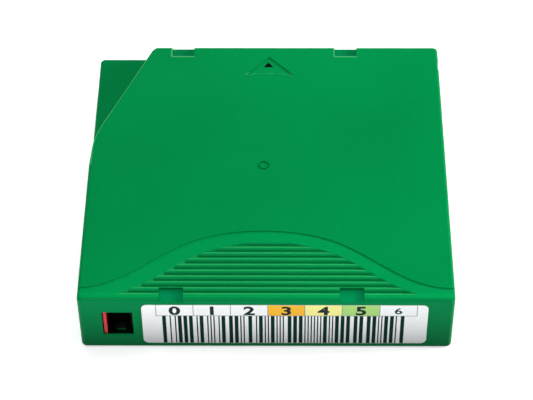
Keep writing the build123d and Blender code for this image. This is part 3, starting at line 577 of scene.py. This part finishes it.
def add_cells():
    """Row of coloured cells."""
    colours = {
        "white": linear(246, 246, 246),
        "orange": linear(246, 186, 60),
        "yellow": linear(246, 238, 150),
        "leaf": linear(172, 214, 124),
    }
    inks = {title: printed("ink_" + title, colour) for title, colour in colours.items()}
    for number, finish in enumerate(cell_finishes):
        left, right = cell_edges[number:number + 2]
        shape = bmesh.new()
        add_field(shape, left + rule / 2, right - rule / 2, cell_bottom + rule / 2, cell_top)
        finish_print(f"label_cell_{number + 1}", shape, inks[finish])


def add_rules():
    """Thin rules between the cells and one under them."""
    shape = bmesh.new()
    for edge in cell_edges:
        add_field(shape, edge - rule / 2, edge + rule / 2, cell_bottom, cell_top)
    left, right = cell_edges[0] - rule / 2, cell_edges[-1] + rule / 2
    # The lower rule is thinner than those that it crosses, so that no two faces lie in one plane
    add_field(shape, left, right, cell_bottom - rule / 2, cell_bottom + rule / 2, ink * 0.8)
    finish_print("label_rules", shape, printed("ink_grey", linear(126, 140, 146)))


def add_bars():
    """Row of upright bars of two widths, in an order drawn by a fixed seed."""
    order = random.Random(7)
    narrow, narrow_space, wide = 0.36 * MM, 0.52 * MM, 1.05 * MM
    wide_bars, wide_spaces = 0.42, 0.26
    margin = 0.12 * MM
    left, end = -29.16 * MM, 39.98 * MM
    shape = bmesh.new()
    while left < end:
        width = wide if order.random() < wide_bars else narrow
        space = wide if order.random() < wide_spaces else narrow_space
        if left + width > end:
            break
        add_field(shape, left, left + width, label_low.z + margin, cell_bottom - margin)
        left += width + space
    finish_print("label_bars", shape, printed("ink_bars", linear(6, 44, 34)))


def add_digit(text, x, z, height, weight, material):
    """One bold wide digit, made a mesh before it is placed upright in front of its cell."""
    spread = 1.27
    gap = 0.01 * MM
    curve = bpy.data.curves.new("digit_" + text, "FONT")
    curve.body = text
    curve.align_x = "CENTER"
    curve.size = 1.0
    curve.offset = weight
    curve.extrude = 0.001
    scratch = bpy.data.objects.new("digit_scratch", curve)
    scene.collection.objects.link(scratch)
    bpy.context.view_layer.update()
    mesh = bpy.data.meshes.new_from_object(scratch)
    bpy.data.objects.remove(scratch)
    bpy.data.curves.remove(curve)
    shape = bmesh.new()
    shape.from_mesh(mesh)
    bpy.data.meshes.remove(mesh)
    bmesh.ops.remove_doubles(shape, verts=shape.verts, dist=0.0001)
    across = [vert.co.x for vert in shape.verts]
    tall = [vert.co.y for vert in shape.verts]
    centre_x, centre_y = (max(across) + min(across)) / 2, (max(tall) + min(tall)) / 2
    scale = height / (max(tall) - min(tall))
    upright = Matrix.Rotation(math.pi / 2, 3, "X")
    place = (x, label_low.y - ink - gap, z)
    bmesh.ops.translate(shape, verts=shape.verts, vec=(-centre_x, -centre_y, 0))
    bmesh.ops.scale(shape, verts=shape.verts, vec=(scale * spread, scale, scale))
    bmesh.ops.rotate(shape, verts=shape.verts, cent=(0, 0, 0), matrix=upright)
    bmesh.ops.translate(shape, verts=shape.verts, vec=place)
    finish_piece("label_digit_" + text, shape, material, "case")


def add_digits():
    """A digit in each cell, the last one smaller and lighter."""
    dark = printed("ink_dark", linear(34, 48, 50))
    middle_z = (cell_bottom + cell_top) / 2 - 0.1 * MM
    sizes = [(3.8 * MM, 0.035)] * (len(cell_finishes) - 1) + [(2.7 * MM, 0.015)]
    for number, (height, weight) in enumerate(sizes):
        middle_x = (cell_edges[number] + cell_edges[number + 1]) / 2
        add_digit(str(number), middle_x, middle_z, height, weight, dark)


def add_arrow_print():
    """Small black triangle printed in the arrow's recess."""
    recess = case_high.z - 0.3 * MM
    corners = ((0.1, 44.25), (-1.4, 42.05), (1.6, 42.05))
    black = printed("ink_black", linear(6, 12, 10))
    shape = bmesh.new()
    add_plate(shape, [(x * MM, y * MM, recess) for x, y in corners], (0, 0, ink))
    bmesh.ops.recalc_face_normals(shape, faces=shape.faces)
    finish_piece("arrow_print", shape, black, "case")


# Springs

def add_coil(name, node, axis, turns, wire, material):
    """Coil of round wire for a CAD spring, which it hides and replaces, riding on the case."""
    low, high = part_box(node)
    index = "XYZ".index(axis)
    along = Vector([float(letter == axis) for letter in "XYZ"])
    across = Vector((1, 0, 0))
    radius = (high.x - low.x) / 2 - wire
    length = high[index] - low[index] - 2 * wire
    start = (low + high) / 2
    start[index] = low[index] + wire
    wire_sides = 10
    steps = 24 * turns
    shape = bmesh.new()
    ring = bmesh.ops.create_circle(shape, segments=wire_sides, radius=wire)["verts"]
    turn = Matrix((across, along, along.cross(across))).transposed()
    bmesh.ops.transform(shape, matrix=turn.to_4x4(), verts=ring)
    bmesh.ops.translate(shape, verts=ring, vec=start + across * radius)
    bmesh.ops.spin(shape, geom=ring + shape.edges[:], cent=start, axis=along, angle=turns * 2 * math.pi,
                   dvec=along * (length / steps), steps=steps)
    bmesh.ops.holes_fill(shape, edges=[edge for edge in shape.edges if edge.is_boundary], sides=0)
    bmesh.ops.recalc_face_normals(shape, faces=shape.faces)
    for face in shape.faces:
        face.smooth = True
    piece = finish_piece(name, shape, material, "case")
    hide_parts(node)
    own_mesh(piece)


def add_springs(material):
    """Door spring and brake spring."""
    add_coil("door_spring_wire", "door_spring", "Y", 16, 0.16 * MM, material)
    add_coil("brake_spring_wire", "brake_spring", "Z", 5, 0.35 * MM, material)


scene.view_settings.view_transform = "Standard"
set_camera()
add_lamps()
set_world()
add_floor()

shell = plastic("green_shell", linear(0, 131, 67), 0.6, 0.02, shade=0.38, specular=0.03,
                zones=make_zones("shell_painted_light", shell_zones()))
red_tab = plastic("red_tab", linear(206, 26, 32), 0.6, 0.01, zones=make_zones("tab_painted_shade", tab_zones()))
steel = brushed_metal("spring_steel", linear(190, 190, 192), 0.3)
reel_grey = linear(184, 188, 186)
film_brown = linear(40, 36, 34)
finishes = {
    "top_shell": shell,
    "bottom_shell": shell,
    "access_door": plastic("green_door", linear(0, 128, 70), 0.35, 0.015, specular=0.2),
    "write_protect_tab": red_tab,
    "case_screws": brushed_metal("dark_screws", linear(70, 72, 76), 0.35),
    "cartridge_label": paper("label_paper", linear(246, 246, 246)),
    "leader_pin": brushed_metal("pin_steel", linear(200, 200, 202), 0.22),
    "leader_pin_spring": steel,
    "leader_clip": plastic("clip_plastic", linear(214, 214, 208), 0.6, 0.01),
    "leader_tape": wound_film("leader_film", film_brown),
    "tape_pack": wound_film("wound_tape", film_brown),
    "reel_hub": plastic("reel_plastic", reel_grey, 0.6, 0.01),
    "reel_upper_flange": plastic("flange_plastic", reel_grey, 0.6, 0.01),
    "reel_drive_plate": brushed_metal("plate_steel", linear(170, 170, 172), 0.35, stretch=(30, 1, 1)),
    "brake_button": plastic("brake_plastic", linear(226, 226, 220), 0.6, 0.01),
    "release_plate": plastic("release_plastic", linear(120, 126, 130), 0.6, 0.01),
    "memory_board": plastic("board_coat", linear(8, 34, 24), 0.8, 0.005),
    "memory_chip": plastic("chip_epoxy", linear(16, 16, 18), 0.2, 0.01),
}
for node, material in finishes.items():
    wear(node, material)

add_cells()
add_rules()
add_bars()
add_digits()
add_arrow_print()
add_springs(steel)
